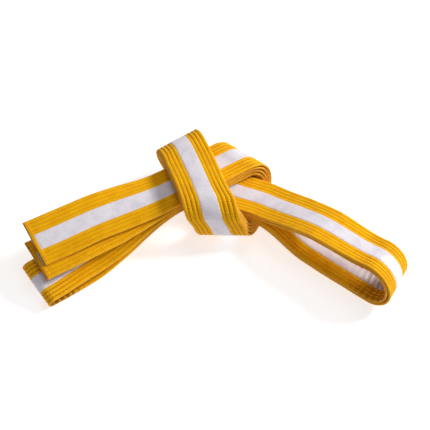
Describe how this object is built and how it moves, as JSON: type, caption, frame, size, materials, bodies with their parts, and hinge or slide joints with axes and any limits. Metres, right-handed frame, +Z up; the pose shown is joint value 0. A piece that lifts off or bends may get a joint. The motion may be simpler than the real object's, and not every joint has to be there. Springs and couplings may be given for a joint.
{
  "type": "martial arts belt",
  "caption": "Golden yellow quilted cotton rank belt with a white centre stripe on both faces, folded and tied in a flat knot with loose tails on one side and an open loop on the other.",
  "frame": {"origin": "middle of the bottom of the bounding box, on the surface the belt rests on", "axes": "+X from the cut ends towards the open loop, +Y from the front of the knot towards its back, +Z up"},
  "size_m": [0.297, 0.1604, 0.0486],
  "materials": {
    "golden_cotton": "matt woven cotton, quilted with lengthwise rows of stitches",
    "white_ribbon": "slightly satin woven ribbon",
    "core_cotton": "plain undyed cotton",
    "golden_thread": "sewing thread in the colour of the sleeve"
  },
  "bodies": {
    "root": {"cover_sleeve": "golden_cotton", "centre_ribbon_front": "white_ribbon", "centre_ribbon_back": "white_ribbon", "core_strip": "core_cotton", "end_seam_a_front": "golden_thread", "end_seam_a_back": "golden_thread", "end_seam_b_front": "golden_thread", "end_seam_b_back": "golden_thread"}
  },
  "joints": []
}
